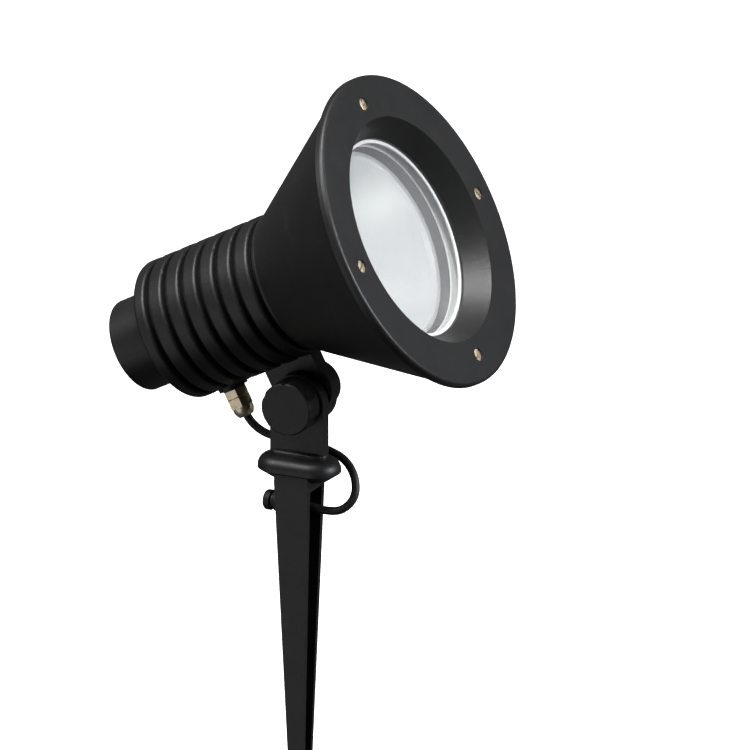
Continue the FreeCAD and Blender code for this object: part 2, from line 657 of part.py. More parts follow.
def wires():
    """Cores inside the housing, in the head frame."""
    radius = size("wire_radius")
    front, pole = size("block_front"), size("pole_pitch")
    sheath_end, gland_z = size("cord_inside") - size("gland_face"), size("gland_back")
    # the three cores leave the sheath as a triangle and fan out to the terminal block's ways
    cores = [
        tube(
            [
                V(across, sheath_end, gland_z + along), V(across, sheath_end + 4, gland_z + along),
                V(x * 0.3, -25, gland_z + 6 + along), V(x * 0.6, -19, 184), V(x, -3, 191), V(x, 0, front),
            ],
            radius,
        )
        for x, across, along in ((-pole, -1.25, -0.72), (0, 0, 1.44), (pole, 1.25, -0.72))
    ]
    shaped("cord_cores", HEAD, Part.makeCompound(cores))
    holder = size("holder_back")
    for name, sign in (("live_wire", -1), ("neutral_wire", 1)):
        route = [
            V(sign * 6, 12, holder), V(sign * 6, 12, 184), V(sign * 8.2, 8.2, 189.5),
            V(sign * pole, 3.3, 193), V(sign * pole, 3.3, front),
        ]
        shaped(name, HEAD, tube(route, radius))
    tag_face = size("barrel_back-shoulder_wall")
    screw_at = V(0, size("strip_screw"), 0)
    crimp_end, crimp_height = 23.4, tag_face - 1.6
    ring = Part.makeCylinder(3.4, 1, screw_at + V(0, 0, tag_face - 1))
    ring = ring.cut(Part.makeCylinder(size("small_shank"), 1, screw_at + V(0, 0, tag_face - 1)))
    crimp = Part.makeCylinder(1.5, 27.6 - crimp_end, V(0, crimp_end, crimp_height), V(0, 1, 0))
    shaped("earth_tag", HEAD, ring.fuse(crimp).removeSplitter())
    earth = [
        V(0, crimp_end, crimp_height), V(0, 18.5, crimp_height), V(0, 13, 184.5), V(0, 6, 188.5),
        V(0, 3.3, 193.4), V(0, 3.3, front),
    ]
    shaped("earth_wire", HEAD, tube(earth, radius))


# ---------------------------------------------------------------- cable gland
def cable_gland():
    body = new_body("gland_body", GLAND)
    hexed = hexagon(new_sketch(body, "gland_hex_outline", "XY_Plane", "oring_thick"), "gland_flats")
    pad(body, "gland_hex_pad", hexed, "gland_hex")
    stem = draw_circle(new_sketch(body, "gland_stem_outline", "XY_Plane", "-9"), "0", "0", "gland_hole-0.05")
    pad(body, "gland_stem", stem, "9+oring_thick")
    thread = draw_circle(
        new_sketch(body, "thread_outline", "XY_Plane", "oring_thick+gland_hex"), "0", "0", "gland_thread"
    )
    pad(body, "gland_thread_pad", thread, "nut_hex_back-1.5-oring_thick-gland_hex")
    bore = draw_circle(new_sketch(body, "gland_bore_outline", "XY_Plane", "-10"), "0", "0", "gland_bore")
    pocket(body, "gland_bore_pocket", bore, "40", Reversed=True)
    seal_seat = draw_circle(
        new_sketch(body, "seal_seat_outline", "XY_Plane", "gland_hex+3"), "0", "0", "gland_thread-1.2"
    )
    pocket(body, "seal_seat", seal_seat, "10", Reversed=True)
    nut = new_body("gland_nut", GLAND)
    nut_hex = hexagon(new_sketch(nut, "nut_hex_outline", "XY_Plane", "nut_front"), "gland_flats")
    pad(nut, "nut_hex_pad", nut_hex, "nut_hex_back-nut_front")
    turn(
        nut,
        "nut_dome",
        [
            ("0", "nut_hex_back-0.5"), ("gland_flats/2-0.4", "nut_hex_back-0.5"),
            ("gland_flats/2-0.4", "nut_hex_back+2"), ("gland_bore+1.6", "nut_back"), ("0", "nut_back"),
        ],
        {2: ("gland_flats*0.62", -1)},
    )
    turn(
        nut,
        "nut_bore",
        [
            ("0", "nut_front-1"), ("gland_thread+0.05", "nut_front-1"),
            ("gland_thread+0.05", "nut_hex_back+2.4"), ("gland_bore+0.2", "nut_back-1.6"),
            ("gland_bore+0.2", "nut_back+1"), ("0", "nut_back+1"),
        ],
        kind="Groove",
    )
    turned(
        "gland_seal",
        GLAND,
        [
            ("cord_radius+0.05", "gland_hex+3"), ("gland_thread-1.3", "gland_hex+3"),
            ("gland_thread-1.3", "nut_hex_back+2.6"), ("gland_bore+0.7", "nut_back-2.4"),
            ("cord_radius+0.05", "nut_back-2.4"),
        ],
    )
    tube_ring("gland_ring_seal", GLAND, "gland_hole+0.05", "gland_flats/2", "0", "oring_thick")


# ---------------------------------------------------------------- pivot
def pivot_parts():
    bolt = new_body("pivot_bolt", PIVOT_FRAME)
    head_top = "head_offset+lug_thick/2"
    head_hex = hexagon(
        new_sketch(bolt, "bolt_hex_outline", "XY_Plane", f"-({head_top})+0.1"), "bolt_flats-0.2"
    )
    pad(bolt, "bolt_hex", head_hex, "bolt_head")
    shank = draw_circle(
        new_sketch(bolt, "shank_outline", "XY_Plane", f"-({head_top})+bolt_head"), "0", "0", "bolt_radius"
    )
    pad(bolt, "bolt_shank", shank, f"{head_top}-bolt_head+bolt_end")
    in_the_recess = FreeCAD.Rotation(V(0, 0, 1), size("tilt_angle") + 90)
    bolt.Placement = PIVOT_FRAME * FreeCAD.Placement(V(0, 0, 0), in_the_recess)
    lug_face, ear_face = "-(head_offset-lug_thick/2)", "-(ear_thick/2+washer_gap)"
    tube_ring("friction_washer", PIVOT_FRAME, "washer_bore", "washer_radius", lug_face, ear_face)
    below_knob = "knob_back-washer_gap"
    tube_ring("knob_washer", PIVOT_FRAME, "washer_bore", "insert_radius+3", "ear_thick/2", below_knob)
    knob = new_body("tilt_knob", PIVOT_FRAME)
    turn(
        knob,
        "knob_shape",
        [
            ("insert_radius", "knob_back"), ("knob_radius-0.8", "knob_back"),
            ("knob_radius", "knob_back+0.8"), ("knob_radius", "knob_front-knob_round"),
            ("knob_radius-knob_round", "knob_front"), ("0", "knob_front"),
            ("0", "knob_well"), ("insert_radius", "knob_well"),
        ],
        {3: ("knob_round", -1)},
    )
    scallop = draw_circle(
        new_sketch(knob, "scallop_edge", "XY_Plane", "knob_back+2.4"), "0", "scallop_centre", "scallop_radius"
    )
    first = pocket(knob, "scallop", scallop, "knob_front", Reversed=True)
    polar(knob, "scallops", first, "scallop_count")
    knob.Placement = PIVOT_FRAME * FreeCAD.Placement(V(0, 0, 0), FreeCAD.Rotation(V(0, 0, 1), 5))
    running_bore = "bolt_radius+bolt_running"
    tube_ring("knob_insert", PIVOT_FRAME, running_bore, "insert_radius", "knob_back", "insert_front")


# ---------------------------------------------------------------- spike
def i_section(sketch, wide, deep, flange, web):
    """An I with its flanges across the front and back, and its web between them."""
    w, d, f, b = f"{wide}/2", f"{deep}/2", flange, f"{web}/2"
    right = [(w, f"-{d}"), (w, f"-{d}+{f}"), (b, f"-{d}+{f}"), (b, f"{d}-{f}"), (w, f"{d}-{f}"), (w, d)]
    left = [(f"-({x})", y) for x, y in reversed(right)]
    return draw(sketch, right + left)


def rectangle(sketch, wide, deep):
    w, d = f"{wide}/2", f"{deep}/2"
    return draw(sketch, [(f"-{w}", f"-{d}"), (w, f"-{d}"), (w, d), (f"-{w}", d)])


def loft(body, name, sketches):
    item = body.newObject("PartDesign::AdditiveLoft", name)
    item.Profile = sketches[0]
    item.Sections = sketches[1:]
    item.Ruled = True
    return item


def taper(top, end, down):
    """A spike dimension at a depth below the ground line."""
    return f"({top}-({top}-{end})*({down})/taper_end)"


def ground_spike():
    body = new_body("ground_spike", WORLD)
    # collar: its underside flares from a flat foot to the widest line, and its top is rounded over
    foot = draw_obround(new_sketch(body, "foot_outline", "XY_Plane"), "under_long", "under_wide")
    edge_sketch = new_sketch(body, "edge_outline", "XY_Plane", "collar_edge")
    edge_line = draw_obround(edge_sketch, "collar_long", "collar_wide")
    loft(body, "collar_underside", [foot, edge_line])
    collar_sketch = new_sketch(body, "collar_outline", "XY_Plane", "collar_edge")
    collar = draw_obround(collar_sketch, "collar_long", "collar_wide")
    pad(body, "collar", collar, "collar_top-collar_edge")

    def rim(height):
        """Picks a horizontal outline by its height."""
        return lambda e: abs(e.BoundBox.ZMin - height) < 1e-3 and abs(e.BoundBox.ZMax - height) < 1e-3

    round_edges(body, "collar_crown_edge", "collar_crown", rim(size("collar_top")))
    dome_sketch = new_sketch(body, "dome_outline", "XY_Plane", "collar_top-1")
    dome = draw_obround(dome_sketch, "dome_long", "dome_wide")
    pad(body, "dome", dome, "dome_top-collar_top+1")
    round_edges(body, "dome_edge", "2", rim(size("dome_top")))
    # ear: a plate with a full-round top about the pivot
    ear = draw(
        new_sketch(body, "ear_outline", "XZ_Plane"),
        [
            ("-ear_radius", "collar_top-3"), ("ear_radius", "collar_top-3"), ("ear_radius", "pivot_height"),
            ("-ear_radius", "pivot_height"),
        ],
        {2: ("ear_radius+0.0001", -1)},
    )
    pad(body, "ear", ear, "ear_thick", Midplane=True)
    bore = draw_circle(
        new_sketch(body, "ear_bore_outline", "XZ_Plane"), "0", "pivot_height", "bolt_radius+bolt_running"
    )
    pocket(body, "ear_bore", bore, "ear_thick+2", Midplane=True)
    # blade: solid block under the collar, then an I-section that tapers to a solid point
    block = rectangle(new_sketch(body, "block_outline", "XY_Plane", "block_top"), "top_wide", "top_deep")
    block_end = rectangle(
        new_sketch(body, "block_end_outline", "XY_Plane", "-head_block"),
        taper("top_wide", "end_wide", "head_block"),
        taper("top_deep", "end_deep", "head_block"),
    )
    loft(body, "head_of_blade", [block, block_end])
    top_sketch = new_sketch(body, "blade_top", "XY_Plane")
    end_sketch = new_sketch(body, "blade_end", "XY_Plane", "-taper_end")
    top = i_section(top_sketch, "top_wide", "top_deep", "flange_top", "web_top")
    end = i_section(end_sketch, "end_wide", "end_deep", "flange_end", "web_end")
    loft(body, "blade", [top, end])
    point = rectangle(
        new_sketch(body, "point_outline", "XY_Plane", "-point_start"),
        taper("top_wide", "end_wide", "point_start"),
        taper("top_deep", "end_deep", "point_start"),
    )
    tip = rectangle(new_sketch(body, "tip_outline", "XY_Plane", "-spike_long"), "tip_wide", "tip_deep")
    loft(body, "point", [point, tip])
    # hole for the cord through the web
    hole = draw_circle(new_sketch(body, "cord_hole_outline", "YZ_Plane"), "0", "-cord_hole_down", "cord_hole")
    pocket(body, "cord_hole_pocket", hole, "web_top*2", Midplane=True)
    return body


# ---------------------------------------------------------------- cord
def cord_route():
    """The cord's corners in the world frame, from inside the gland's nut to the end cap."""
    exit_point = GLAND.multVec(V(0, 0, size("nut_back") + 1.5))
    start = GLAND.multVec(V(0, 0, size("nut_back-cord_split")))
    hole = -size("cord_hole_down")
    return [
        start, exit_point, V(-35.6, 12.9, 23.4), V(-28.4, 14.4, 19.2), V(-17.5, 16.6, 17.6),
        V(-4.0, 18.1, 16.4), V(9.0, 18.9, 14.0), V(22.4, 18.2, 9.6), V(32.2, 12.6, 1.0),
        V(35.0, 7.0, -10.4), V(28.0, 2.6, -18.8), V(17.2, 0.9, -19.8), V(6.2, 0, hole),
        V(-size("end_cap_start"), 0, hole),
    ]


def cord_parts():
    shaped("supply_cord", WORLD, tube(cord_route(), size("cord_radius"), "supply_cord"))
    inside = size("cord_inside")
    held = Part.makeCylinder(size("cord_radius"), inside + size("nut_back-cord_split"), V(0, 0, -inside))
    shaped("cord_in_gland", GLAND, held)
    web = "web_top/2"
    turned(
        "cord_grommet",
        CORD_HOLE,
        [
            ("grommet_bore", "-grommet_half"), ("grommet_flange-1", "-grommet_half"),
            ("grommet_flange", f"-({web})-0.1"), ("cord_hole-0.05", f"-({web})-0.1"),
            ("cord_hole-0.05", f"{web}+0.1"), ("grommet_flange", f"{web}+0.1"),
            ("grommet_flange-1", "grommet_half"), ("grommet_bore", "grommet_half"),
        ],
    )
    turned(
        "cord_end_cap",
        CORD_HOLE,
        [
            ("0", "end_cap_start"), ("cord_radius+1", "end_cap_start"),
            ("cord_radius+1.6", "end_cap_start+4"),
            ("end_cap_radius", "end_cap_start+6"), ("end_cap_radius", "end_cap_start+11"),
            ("end_cap_radius-1.2", "end_cap_start+12"), ("end_cap_radius-1.2", "end_cap_start+13"),
            ("end_cap_radius", "end_cap_start+14"), ("end_cap_radius", "end_cap_end-2"),
            ("end_cap_radius-2", "end_cap_end"), ("0", "end_cap_end"),
        ],
        {8: ("2", -1)},
    )


def check_and_write():
    doc.recompute()
    faulty = [
        f"{i.Label} ({i.getStatusString()})"
        for i in doc.Objects
        if "Invalid" in i.State or "Error" in i.State
    ]
    if faulty:
        raise RuntimeError("did not build: " + ", ".join(faulty))
    os.makedirs("parts", exist_ok=True)
    for item in parts:
        if item.Shape.isNull() or not item.Shape.isValid():
            raise RuntimeError(f"{item.Label} has no valid shape")
        print(f"{item.Label:22s} solids {len(item.Shape.Solids)} volume {item.Shape.Volume:10.1f}")
        item.Shape.exportStep(f"parts/{item.Label}.step")


lamp_housing()
front_ring()
ring_screws()
glass_and_seals()
reflector_lamp()
lampholder()
holder_screws()
terminal_block()
wires()
cable_gland()
pivot_parts()
ground_spike()
cord_parts()
check_and_write()
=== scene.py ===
"""Garden spotlight on a ground spike: finishes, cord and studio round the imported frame."""

import json
import math

import bmesh
import bpy
from mathutils import Matrix, Vector


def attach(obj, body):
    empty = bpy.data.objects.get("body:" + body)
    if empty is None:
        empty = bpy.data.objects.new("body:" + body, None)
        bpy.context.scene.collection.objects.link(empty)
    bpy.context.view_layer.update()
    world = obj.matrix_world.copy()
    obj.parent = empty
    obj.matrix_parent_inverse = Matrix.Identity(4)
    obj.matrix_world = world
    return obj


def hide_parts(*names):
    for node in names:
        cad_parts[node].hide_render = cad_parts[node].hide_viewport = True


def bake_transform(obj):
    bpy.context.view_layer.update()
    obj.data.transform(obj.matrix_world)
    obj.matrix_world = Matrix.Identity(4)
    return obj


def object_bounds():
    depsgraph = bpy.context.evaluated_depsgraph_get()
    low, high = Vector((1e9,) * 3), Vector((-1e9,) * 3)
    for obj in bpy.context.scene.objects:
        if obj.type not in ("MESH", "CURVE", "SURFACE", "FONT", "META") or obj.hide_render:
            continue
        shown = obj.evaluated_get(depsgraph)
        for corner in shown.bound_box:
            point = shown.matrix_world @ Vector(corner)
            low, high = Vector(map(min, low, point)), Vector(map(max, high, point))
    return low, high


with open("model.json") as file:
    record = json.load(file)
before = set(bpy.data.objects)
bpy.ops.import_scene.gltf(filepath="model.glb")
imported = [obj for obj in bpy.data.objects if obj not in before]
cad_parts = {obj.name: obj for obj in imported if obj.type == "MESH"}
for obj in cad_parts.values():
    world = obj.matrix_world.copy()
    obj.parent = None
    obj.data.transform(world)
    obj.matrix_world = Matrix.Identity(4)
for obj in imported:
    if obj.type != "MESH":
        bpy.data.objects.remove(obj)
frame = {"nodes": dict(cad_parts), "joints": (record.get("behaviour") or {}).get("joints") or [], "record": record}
cad_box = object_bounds()
nodes = frame["nodes"]
record = frame["record"]

MM = 0.001
TILT = math.radians(27.4)
PIVOT = Vector(next(j for j in frame["joints"] if j["name"] == "head_tilt")["pos_m"])
AIM = Vector((math.cos(TILT), 0, math.sin(TILT)))
UPRIGHT = Vector((-math.sin(TILT), 0, math.cos(TILT)))
FACE_CENTRE = PIVOT + AIM * (121.7 * MM) + UPRIGHT * (68.3 * MM) + Vector((0, 12 * MM, 0))
# Head frame: Z runs backwards from the ring's face along the lamp's axis, Y is up, X is across.
HEAD_AXES = Matrix((Vector((0, -1, 0)), UPRIGHT, -AIM)).transposed().to_4x4()
HEAD = Matrix.Translation(FACE_CENTRE) @ HEAD_AXES
SCREW_CIRCLE = 83.5
GLAND_BACK = 167.2
GLAND_FACE = 46.5
GLAND_END = 19.0
# Gland frame: Z runs out of the boss under the barrel.
GLAND_PLACE = Matrix.Translation((0, -GLAND_FACE * MM, GLAND_BACK * MM))
GLAND = HEAD @ GLAND_PLACE @ Matrix.Rotation(math.pi / 2, 4, "X")

CORD_RADIUS = 2.6
CORD_HOLE_DOWN = 17.5


# ---------------------------------------------------------------- camera
AZIMUTH, ELEVATION = math.radians(25.2), math.radians(18.0)
TOWARDS_CAMERA = Vector((
    math.sin(AZIMUTH) * math.cos(ELEVATION),
    -math.cos(AZIMUTH) * math.cos(ELEVATION),
    math.sin(ELEVATION),
))
CAMERA_RIGHT = Vector((math.cos(AZIMUTH), math.sin(AZIMUTH), 0))
CAMERA_UP = TOWARDS_CAMERA.cross(CAMERA_RIGHT)
VIEW_WIDTH = 0.459
CAMERA_DISTANCE = 5.0


def make_camera():
    data = bpy.data.cameras.new("studio_camera")
    data.sensor_width = 36
    data.lens = data.sensor_width * CAMERA_DISTANCE / VIEW_WIDTH
    data.clip_end = 60
    camera = bpy.data.objects.new("studio_camera", data)
    bpy.context.scene.collection.objects.link(camera)
    target = PIVOT + CAMERA_RIGHT * 0.0464 + CAMERA_UP * 0.0160
    place = Matrix((CAMERA_RIGHT, CAMERA_UP, TOWARDS_CAMERA)).transposed().to_4x4()
    camera.matrix_world = Matrix.Translation(target + TOWARDS_CAMERA * CAMERA_DISTANCE) @ place
    bpy.context.scene.camera = camera


# ---------------------------------------------------------------- materials
def new_material(name):
    material = bpy.data.materials.new(name)
    material.use_nodes = True
    tree = material.node_tree
    return material, tree, tree.nodes["Principled BSDF"]


def add(tree, kind, **values):
    """A node whose inputs and settings are given by name."""
    node = tree.nodes.new(kind)
    for key, value in values.items():
        if key in node.inputs:
            node.inputs[key].default_value = value
        else:
            setattr(node, key, value)
    return node


def ramp(tree, source, stops):
    """A colour ramp fed by source, with (place, colour) stops."""
    node = tree.nodes.new("ShaderNodeValToRGB")
    elements = node.color_ramp.elements
    while len(elements) < len(stops):
        elements.new(0.5)
    for element, (place, colour) in zip(elements, stops):
        element.position = place
        element.color = (*colour, 1) if len(colour) == 3 else colour
    tree.links.new(source, node.inputs["Fac"])
    return node.outputs["Color"]


def grey(value):
    return (value, value, value)


def noise(tree, scale, detail=4.0):
    """Noise in the piece's own coordinates."""
    coordinates = add(tree, "ShaderNodeTexCoord")
    node = add(tree, "ShaderNodeTexNoise", Scale=scale, Detail=detail, Roughness=0.55)
    tree.links.new(coordinates.outputs["Object"], node.inputs["Vector"])
    return node.outputs["Fac"]


def bump(tree, shader, heights, distance):
    """Adds bump from (height socket, strength) pairs, one after another."""
    previous = None
    for height, strength in heights:
        node = add(tree, "ShaderNodeBump", Strength=strength, Distance=distance)
        tree.links.new(height, node.inputs["Height"])
        if previous:
            tree.links.new(previous, node.inputs["Normal"])
        previous = node.outputs["Normal"]
    tree.links.new(previous, shader.inputs["Normal"])


def powder_coat(name="powder_coat", shade=0.015, rough=(0.36, 0.5), grain=0.16):
    """Satin black powder coat: fine orange peel, faint dust and uneven gloss."""
    material, tree, shader = new_material(name)
    cloud = noise(tree, 38, 5)
    speck = noise(tree, 900, 3)
    peel = noise(tree, 1500, 2)
    dusty = (shade * 1.7, shade * 1.65, shade * 1.55)
    dust = ramp(tree, cloud, [(0.3, grey(shade * 0.75)), (0.62, grey(shade)), (0.8, dusty)])
    tree.links.new(dust, shader.inputs["Base Color"])
    gloss = ramp(tree, speck, [(0.3, grey(rough[0])), (0.7, grey(rough[1]))])
    tree.links.new(gloss, shader.inputs["Roughness"])
    shader.inputs["IOR"].default_value = 1.5
    bump(tree, shader, [(peel, grain), (noise(tree, 240, 3), grain * 0.6)], 0.0004)
    return material


def rubber(name, shade=0.008, rough=0.55, scale=700):
    material, tree, shader = new_material(name)
    blotch = ramp(tree, noise(tree, 60, 4), [(0.35, grey(shade)), (0.75, grey(shade * 2.2))])
    tree.links.new(blotch, shader.inputs["Base Color"])
    gloss = ramp(tree, noise(tree, scale, 2), [(0.3, grey(rough - 0.08)), (0.7, grey(rough + 0.1))])
    tree.links.new(gloss, shader.inputs["Roughness"])
    bump(tree, shader, [(noise(tree, scale * 2, 2), 0.15)], 0.0003)
    return material


def metal(name, colour, dark, rough=(0.22, 0.42), scale=500, grain=0.12):
    """Bare metal with tarnish in patches and fine machining."""
    material, tree, shader = new_material(name)
    shader.inputs["Metallic"].default_value = 1.0
    patches = ramp(tree, noise(tree, 260, 5), [(0.34, dark), (0.6, colour)])
    tree.links.new(patches, shader.inputs["Base Color"])
    gloss = ramp(tree, noise(tree, scale, 3), [(0.3, grey(rough[0])), (0.75, grey(rough[1]))])
    tree.links.new(gloss, shader.inputs["Roughness"])
    bump(tree, shader, [(noise(tree, scale * 1.5, 2), grain)], 0.0002)
    return material


def plain(name, colour, rough=0.5, scale=300, metallic=0.0):
    """A moulded or pressed finish with a little unevenness."""
    material, tree, shader = new_material(name)
    shader.inputs["Metallic"].default_value = metallic
    dark = tuple(c * 0.82 for c in colour)
    tint = ramp(tree, noise(tree, scale * 0.3, 4), [(0.3, dark), (0.7, colour)])
    tree.links.new(tint, shader.inputs["Base Color"])
    gloss = ramp(tree, noise(tree, scale, 3), [(0.3, grey(rough - 0.06)), (0.7, grey(rough + 0.08))])
    tree.links.new(gloss, shader.inputs["Roughness"])
    bump(tree, shader, [(noise(tree, scale * 2, 2), 0.1)], 0.0003)
    return material


def clear_glass(name="clear_glass"):
    material, tree, shader = new_material(name)
    shader.inputs["Base Color"].default_value = (0.97, 0.99, 0.98, 1)
    shader.inputs["Alpha"].default_value = 0.1
    shader.inputs["IOR"].default_value = 1.5
    smear = ramp(tree, noise(tree, 30, 5), [(0.4, grey(0.02)), (0.8, grey(0.09))])
    tree.links.new(smear, shader.inputs["Roughness"])
    return material


def pressed_glass(name="pressed_glass"):
    """The lamp's own lens, lightly stippled."""
    material, tree, shader = new_material(name)
    shader.inputs["Base Color"].default_value = (0.96, 0.98, 0.97, 1)
    shader.inputs["Alpha"].default_value = 0.27
    gloss = ramp(tree, noise(tree, 160, 2), [(0.35, grey(0.08)), (0.7, grey(0.16))])
    tree.links.new(gloss, shader.inputs["Roughness"])
    bump(tree, shader, [(noise(tree, 60, 1), 0.12)], 0.0008)
    return material


def reflector_silver(name="reflector_silver"):
    """Satin aluminised glass, faintly hammered."""
    material, tree, shader = new_material(name)
    shader.inputs["Metallic"].default_value = 1.0
    tint = ramp(tree, noise(tree, 14, 3), [(0.3, (0.9, 0.93, 0.9)), (0.7, (0.97, 0.97, 0.97))])
    tree.links.new(tint, shader.inputs["Base Color"])
    gloss = ramp(tree, noise(tree, 90, 3), [(0.3, grey(0.34)), (0.7, grey(0.44))])
    tree.links.new(gloss, shader.inputs["Roughness"])
    bump(tree, shader, [(noise(tree, 40, 2), 0.06)], 0.001)
    return material


def white_silicone(name="white_silicone"):
    """Translucent white seal, lit through by the lamp's chamber."""
    material, tree, shader = new_material(name)
    tint = ramp(tree, noise(tree, 200, 3), [(0.3, (0.9, 0.91, 0.9)), (0.7, (0.98, 0.98, 0.97))])
    tree.links.new(tint, shader.inputs["Base Color"])
    shader.inputs["Subsurface Weight"].default_value = 0.25
    shader.inputs["Subsurface Radius"].default_value = (0.004, 0.004, 0.004)
    shader.inputs["Subsurface Scale"].default_value = 1.0
    gloss = ramp(tree, noise(tree, 400, 2), [(0.3, grey(0.25)), (0.7, grey(0.4))])
    tree.links.new(gloss, shader.inputs["Roughness"])
    return material


COAT = powder_coat()
FINISHES = {
    "black_casting": COAT,
    "screw_brass": metal("screw_brass", (0.9, 0.8, 0.6), (0.5, 0.4, 0.27), (0.4, 0.6)),
    "gland_brass": metal("gland_brass", (0.96, 0.86, 0.64), (0.86, 0.7, 0.44), (0.32, 0.5)),
    "cap_brass": metal("cap_brass", (0.82, 0.66, 0.38), (0.62, 0.45, 0.22)),
    "spring_steel": metal("spring_steel", (0.62, 0.62, 0.63), (0.4, 0.4, 0.41)),
    "black_rubber": rubber("black_rubber"),
    "white_silicone": white_silicone(),
    "cord_rubber": rubber("cord_rubber", 0.007, 0.5, 1100),
    "washer_plastic": rubber("washer_plastic", 0.012, 0.6),
    "knob_plastic": powder_coat("knob_satin", 0.012, (0.42, 0.56), 0.2),
    "clear_glass": clear_glass(),
    "lens_glass": pressed_glass(),
    "reflector_glass": reflector_silver(),
    "white_ceramic": plain("white_ceramic", (0.82, 0.8, 0.76), 0.5),
    "black_ceramic": plain("black_ceramic", (0.04, 0.04, 0.04), 0.25),
    "core_plastic": plain("core_plastic", (0.4, 0.33, 0.26), 0.4),
    "live_plastic": plain("live_plastic", (0.24, 0.1, 0.04), 0.4),
    "neutral_plastic": plain("neutral_plastic", (0.03, 0.13, 0.5), 0.4),
    "earth_plastic": plain("earth_plastic", (0.16, 0.42, 0.08), 0.4),
}


def finish_cad_nodes():
    for part in record["subparts"]:
        for slot in nodes[part["node"]].material_slots:
            slot.material = FINISHES[part["material_slot"]]


# ---------------------------------------------------------------- cord
def route():
    """The cord's corners, from inside the gland's nut to the end cap."""
    inside = GLAND @ Vector((0, 0, (GLAND_END - 6.4) * MM))
    leaves = GLAND @ Vector((0, 0, (GLAND_END + 1.5) * MM))
    corners = [
        (-35.6, 12.9, 23.4), (-28.4, 14.4, 19.2), (-17.5, 16.6, 17.6), (-4.0, 18.1, 16.4),
        (9.0, 18.9, 14.0), (22.4, 18.2, 9.6), (32.2, 12.6, 1.0), (35.0, 7.0, -10.4), (28.0, 2.6, -18.8),
        (17.2, 0.9, -19.8), (6.2, 0.0, -CORD_HOLE_DOWN), (-4.5, 0.0, -CORD_HOLE_DOWN),
    ]
    return [inside, leaves] + [Vector(c) * MM for c in corners]


def spline_points(points):
    """Points along the smooth line that the route's corners steer."""
    curve = bpy.data.curves.new("cord_line", "CURVE")
    curve.dimensions = "3D"
    curve.resolution_u = 24
    spline = curve.splines.new("NURBS")
    spline.points.add(len(points) - 1)
    for target, point in zip(spline.points, points):
        target.co = (*point, 1)
    spline.order_u = 3
    spline.use_endpoint_u = True
    line = bpy.data.objects.new("cord_line", curve)
    bpy.context.scene.collection.objects.link(line)
    bpy.context.view_layer.update()
    mesh = bpy.data.meshes.new_from_object(line.evaluated_get(bpy.context.evaluated_depsgraph_get()))
    path = [v.co.copy() for v in mesh.vertices]
    bpy.data.objects.remove(line)
    return path


def tube_along(name, path, radius, sides=24):
    """A closed round tube that follows path without twisting, with its UV map along and round it."""
    mesh = bmesh.new()
    uv = mesh.loops.layers.uv.new("along")
    side = Vector((0, 1, 0))
    rings, travelled = [], 0.0
    for i, point in enumerate(path):
        before, after = path[max(i - 1, 0)], path[min(i + 1, len(path) - 1)]
        forward = (after - before).normalized()
        side = (side - forward * side.dot(forward)).normalized()
        other = forward.cross(side)
        if i:
            travelled += (point - path[i - 1]).length
        ring = [
            mesh.verts.new(point + (side * math.cos(a) + other * math.sin(a)) * radius)
            for a in (2 * math.pi * k / sides for k in range(sides))
        ]
        rings.append((ring, travelled))
    for (low, a), (high, b) in zip(rings, rings[1:]):
        for k in range(sides):
            face = mesh.faces.new((low[k], low[(k + 1) % sides], high[(k + 1) % sides], high[k]))
            for loop, value in zip(face.loops, ((k, a), (k + 1, a), (k + 1, b), (k, b))):
                loop[uv].uv = (value[0] / sides, value[1] / (2 * math.pi * radius))
    mesh.faces.new(list(reversed(rings[0][0])))
    mesh.faces.new(rings[-1][0])
    return finish_mesh(name, mesh)


def finish_mesh(name, mesh, smooth=40.0):
    """Turns a bmesh into a linked object with outward faces, smooth below an angle."""
    bmesh.ops.recalc_face_normals(mesh, faces=mesh.faces)
    data = bpy.data.meshes.new(name)
    mesh.to_mesh(data)
    mesh.free()
    data.polygons.foreach_set("use_smooth", [True] * len(data.polygons))
    data.set_sharp_from_angle(angle=math.radians(smooth))
    obj = bpy.data.objects.new(name, data)
    bpy.context.scene.collection.objects.link(obj)
    return obj


# ---------------------------------------------------------------- ring screws
def lathe(name, outline, sides=48):
    """A closed turned solid from (radius, height) points in millimetres, base to tip."""
    mesh = bmesh.new()
    rings = []
    for radius, height in outline:
        count = sides if radius > 0 else 1
        rings.append([
            mesh.verts.new((radius * MM * math.cos(a), radius * MM * math.sin(a), height * MM))
            for a in (2 * math.pi * k / sides for k in range(count))
        ])
    for low, high in zip(rings, rings[1:]):
        for k in range(sides):
            corners = [low[k % len(low)], low[(k + 1) % len(low)]]
            corners += [high[(k + 1) % len(high)], high[k % len(high)]]
            mesh.faces.new(list(dict.fromkeys(corners)))
    return finish_mesh(name, mesh)


def screw_pattern():
    """One slotted cheese-head screw with a chamfered rim; Z runs out of the ring's face."""
    body = lathe("screw_body", [
        (0, -17.0), (1.6, -17.0), (2.0, -16.2), (2.0, -3.2), (4.0, -3.2), (4.1, -3.05), (4.1, -1.3),
        (3.95, -1.0), (3.5, -0.82), (0, -0.75),
    ])
    bpy.ops.mesh.primitive_cube_add(size=1, location=(0, 0, -1.25 * MM))
    cutter = bpy.context.object
    cutter.scale = (10 * MM, 1.0 * MM, 1.1 * MM)
    cut = body.modifiers.new("slot", "BOOLEAN")
    cut.operation = "DIFFERENCE"
    cut.solver = "EXACT"
    cut.object = cutter
    bpy.context.view_layer.update()
    data = bpy.data.meshes.new_from_object(body.evaluated_get(bpy.context.evaluated_depsgraph_get()))
    body.modifiers.remove(cut)
    bpy.data.objects.remove(cutter)
    body.data = data
    data.set_sharp_from_angle(angle=math.radians(30))
    return body


